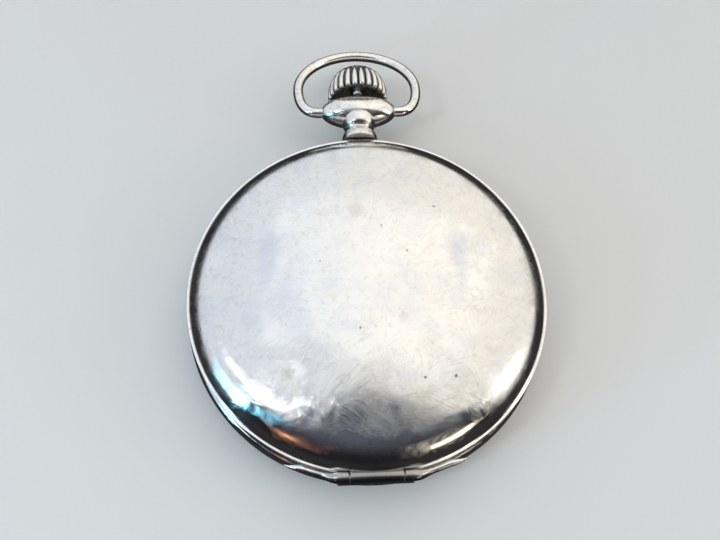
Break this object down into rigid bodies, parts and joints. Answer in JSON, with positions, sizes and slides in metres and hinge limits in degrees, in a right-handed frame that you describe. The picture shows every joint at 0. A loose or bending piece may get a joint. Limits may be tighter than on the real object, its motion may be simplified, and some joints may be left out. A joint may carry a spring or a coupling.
{
  "type": "open face pocket watch",
  "caption": "Round polished silver open-face pocket watch lying face down, domed hinged back, fluted crown and oval bow, with a full lever movement inside.",
  "frame": {"origin": "middle of the crystal's flat outer face, on which the watch lies", "axes": "+Z through the domed back, +Y towards the pendant and bow (12 o'clock), +X to the right seen from the back"},
  "size_m": [0.0512, 0.0704, 0.0146],
  "materials": {
    "case_silver": "worn polish with hairline scratches and small pits",
    "pendant_nickel": "bright worn polish",
    "steel": "polished",
    "blued_steel": "heat blued and polished",
    "movement_nickel": "satin with circular striping",
    "gilt_brass": "satin gilt",
    "enamel": "glossy white enamel",
    "crystal_glass": "clear polished"
  },
  "bodies": {
    "case": {"case_middle": "case_silver", "pendant": "pendant_nickel", "back_hinge_pin": "steel", "bezel_hinge_pin": "steel", "main_plate": "movement_nickel", "barrel_bridge": "movement_nickel", "train_bridge": "movement_nickel", "pallet_bridge": "movement_nickel", "balance_cock": "movement_nickel", "balance_end_cap": "blued_steel", "crown_wheel_screw": "blued_steel", "click_screw": "blued_steel", "click_spring": "blued_steel", "hairspring": "blued_steel", "dial": "enamel", "cock_screw": "blued_steel", "pallet_bridge_screw": "blued_steel", "barrel_bridge_screw_left": "blued_steel", "barrel_bridge_screw_right": "blued_steel", "train_bridge_screw_right": "blued_steel", "train_bridge_screw_lower": "blued_steel", "case_screw_left": "blued_steel", "case_screw_right": "blued_steel"},
    "back_cover": {"back_cover": "case_silver"},
    "bezel": {"bezel": "case_silver", "crystal": "crystal_glass"},
    "bow": {"bow": "pendant_nickel"},
    "winding": {"winding_pinion": "steel"},
    "crown": {"crown": "pendant_nickel", "winding_stem": "steel"},
    "clutch": {"sliding_clutch": "steel"},
    "setting_lever": {"setting_lever": "steel"},
    "clutch_yoke": {"clutch_yoke": "steel"},
    "crown_wheel": {"crown_wheel": "steel"},
    "ratchet": {"ratchet_wheel": "steel", "ratchet_screw": "blued_steel", "barrel_arbor": "steel"},
    "click": {"click": "steel"},
    "barrel": {"mainspring_barrel": "gilt_brass", "barrel_cover": "gilt_brass", "mainspring": "steel"},
    "centre": {"centre_wheel": "gilt_brass", "cannon_pinion": "steel", "minute_hand": "blued_steel"},
    "third": {"third_wheel": "gilt_brass"},
    "fourth": {"fourth_wheel": "gilt_brass", "seconds_hand": "blued_steel"},
    "escape": {"escape_wheel": "steel"},
    "hour": {"hour_wheel": "gilt_brass", "hour_hand": "blued_steel"},
    "minute": {"minute_wheel": "gilt_brass"},
    "setting_wheel": {"setting_wheel": "steel"},
    "pallets": {"pallet_fork": "steel"},
    "balance": {"balance_wheel": "gilt_brass", "balance_staff": "steel", "roller_table": "steel"},
    "regulator": {"regulator": "steel"}
  },
  "joints": [
    {"name": "back_cover_hinge", "type": "hinge", "parent": "case", "child": "back_cover", "pos_m": [0, -0.025, 0.0079], "axis": [1, 0, 0], "range_deg": [0, 95]},
    {"name": "bezel_hinge", "type": "hinge", "parent": "case", "child": "bezel", "pos_m": [0, -0.025, 0.00475], "axis": [-1, 0, 0], "range_deg": [0, 95]},
    {"name": "bow_swing", "type": "hinge", "parent": "case", "child": "bow", "pos_m": [0, 0.03094, 0.007], "axis": [1, 0, 0], "range_deg": [-85, 105]},
    {"name": "winding_turn", "type": "hinge", "parent": "case", "child": "winding", "pos_m": [0, 0.01417, 0.007], "axis": [0, 1, 0], "continuous": true},
    {"name": "crown_slide", "type": "slide", "parent": "winding", "child": "crown", "axis": [0, 1, 0], "range_m": [0, 0.0012]},
    {"name": "clutch_slide", "type": "slide", "parent": "winding", "child": "clutch", "axis": [0, 1, 0], "range_m": [-0.00085, 0]},
    {"name": "setting_lever_turn", "type": "hinge", "parent": "case", "child": "setting_lever", "pos_m": [0.0052, 0.018, 0.0053], "axis": [0, 0, 1], "range_deg": [-18, 0]},
    {"name": "clutch_yoke_turn", "type": "hinge", "parent": "case", "child": "clutch_yoke", "pos_m": [-0.0054, 0.0156, 0.0053], "axis": [0, 0, 1], "range_deg": [-14.5, 0]},
    {"name": "crown_wheel_turn", "type": "hinge", "parent": "case", "child": "crown_wheel", "pos_m": [0, 0.01417, 0.0096], "axis": [0, 0, 1], "continuous": true},
    {"name": "ratchet_turn", "type": "hinge", "parent": "case", "child": "ratchet", "pos_m": [-0.00604, 0.0067, 0.0096], "axis": [0, 0, 1], "continuous": true},
    {"name": "click_swing", "type": "hinge", "parent": "case", "child": "click", "pos_m": [-0.00744, 0.01468, 0.0096], "axis": [0, 0, 1], "range_deg": [0, 8], "stiffness_Nm_per_rad": 0.0001},
    {"name": "centre_turn", "type": "hinge", "parent": "case", "child": "centre", "pos_m": [0, 0, 0.008], "axis": [0, 0, 1], "continuous": true},
    {"name": "barrel_turn", "type": "hinge", "parent": "case", "child": "barrel", "pos_m": [-0.00604, 0.0067, 0.0076], "axis": [0, 0, 1], "continuous": true},
    {"name": "third_turn", "type": "hinge", "parent": "case", "child": "third", "pos_m": [0.00432, -0.00576, 0.008], "axis": [0, 0, 1], "continuous": true},
    {"name": "fourth_turn", "type": "hinge", "parent": "case", "child": "fourth", "pos_m": [0, -0.0096, 0.008], "axis": [0, 0, 1], "continuous": true},
    {"name": "escape_turn", "type": "hinge", "parent": "case", "child": "escape", "pos_m": [-0.00405, -0.01244, 0.0073], "axis": [0, 0, 1], "continuous": true},
    {"name": "hour_turn", "type": "hinge", "parent": "case", "child": "hour", "pos_m": [0, 0, 0.0052], "axis": [0, 0, 1], "continuous": true},
    {"name": "minute_turn", "type": "hinge", "parent": "case", "child": "minute", "pos_m": [0, 0.004, 0.0056], "axis": [0, 0, 1], "continuous": true},
    {"name": "setting_wheel_turn", "type": "hinge", "parent": "case", "child": "setting_wheel", "pos_m": [0, 0.01, 0.0056], "axis": [0, 0, 1], "continuous": true},
    {"name": "balance_swing", "type": "hinge", "parent": "case", "child": "balance", "pos_m": [-0.0115, -0.0055, 0.0094], "axis": [0, 0, 1], "range_deg": [-270, 270], "stiffness_Nm_per_rad": 0.000005},
    {"name": "pallet_swing", "type": "hinge", "parent": "case", "child": "pallets", "pos_m": [-0.0072, -0.00951, 0.0073], "axis": [0, 0, 1], "range_deg": [-6, 6]},
    {"name": "regulator_turn", "type": "hinge", "parent": "case", "child": "regulator", "pos_m": [-0.0115, -0.0055, 0.0112], "axis": [0, 0, 1], "range_deg": [-12, 12]}
  ],
  "couplings": [
    {"joint": "clutch_slide", "follows": "crown_slide", "ratio": -0.7},
    {"joint": "setting_lever_turn", "follows": "crown_slide", "rad_per_m": -250},
    {"joint": "clutch_yoke_turn", "follows": "crown_slide", "rad_per_m": -200},
    {"joint": "crown_wheel_turn", "follows": "winding_turn", "ratio": -0.46154},
    {"joint": "ratchet_turn", "follows": "winding_turn", "ratio": 0.31579},
    {"joint": "barrel_turn", "follows": "centre_turn", "ratio": -0.13889},
    {"joint": "third_turn", "follows": "centre_turn", "ratio": -8},
    {"joint": "fourth_turn", "follows": "centre_turn", "ratio": 60},
    {"joint": "escape_turn", "follows": "centre_turn", "ratio": -600},
    {"joint": "hour_turn", "follows": "centre_turn", "ratio": 0.083333},
    {"joint": "minute_turn", "follows": "centre_turn", "ratio": -0.33333},
    {"joint": "setting_wheel_turn", "follows": "centre_turn", "ratio": 0.33333},
    {"joint": "pallet_swing", "follows": "balance_swing", "ratio": 0.02}
  ]
}
